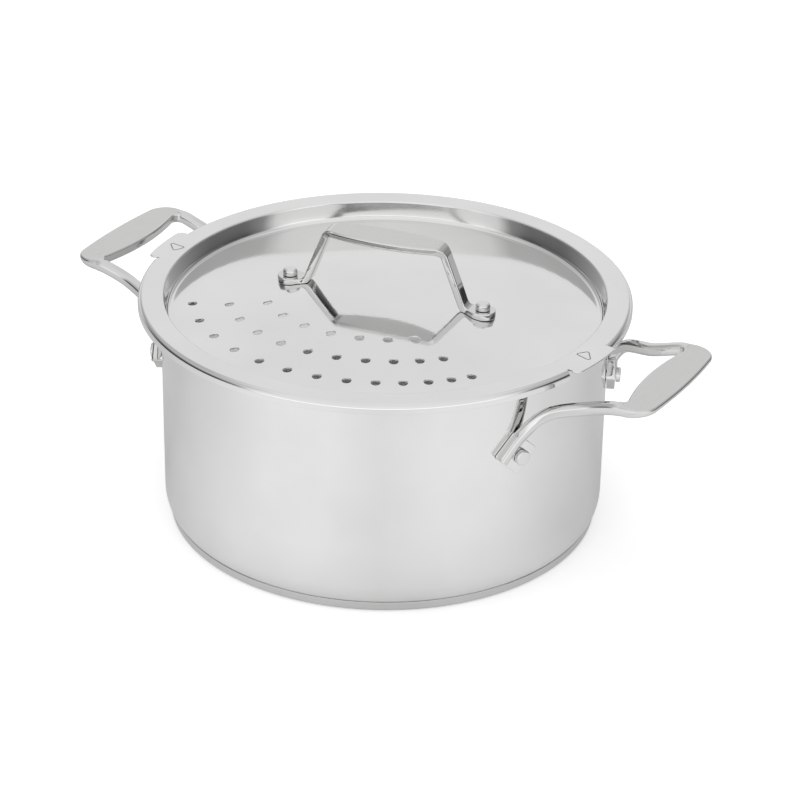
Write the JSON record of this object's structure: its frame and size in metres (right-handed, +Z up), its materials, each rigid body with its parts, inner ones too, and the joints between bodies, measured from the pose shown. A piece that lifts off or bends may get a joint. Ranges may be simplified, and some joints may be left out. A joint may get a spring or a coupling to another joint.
{
  "type": "stockpot with strainer lid",
  "caption": "Low polished-steel stockpot with riveted loop handles, a capsule base and a lift-off crowned lid that is perforated towards its rim for straining.",
  "frame": {"origin": "middle of the base, on the surface that the pot stands on", "axes": "+Z up, +X along the line through the side handles' middles, the lid's strainer holes towards -Y"},
  "size_m": [0.362, 0.2684, 0.1627],
  "materials": {
    "polished_steel": "polished",
    "lid_steel": "polished",
    "satin_steel": "satin",
    "rivet_steel": "polished",
    "core_aluminium": "bare"
  },
  "bodies": {
    "pot": {"pot_shell": "polished_steel", "base_cap": "polished_steel", "base_core": "core_aluminium", "side_handle_right": "satin_steel", "side_handle_left": "satin_steel", "side_rivet_right_front": "rivet_steel", "side_rivet_right_rear": "rivet_steel", "side_rivet_left_front": "rivet_steel", "side_rivet_left_rear": "rivet_steel"},
    "lid": {"strainer_lid": "lid_steel", "lid_handle": "satin_steel", "lid_rivet_right": "rivet_steel", "lid_rivet_left": "rivet_steel"}
  },
  "joints": [
    {"name": "lid_lift", "type": "slide", "parent": "pot", "child": "lid", "axis": [0, 0, 1], "range_m": [0, 0.15]}
  ]
}
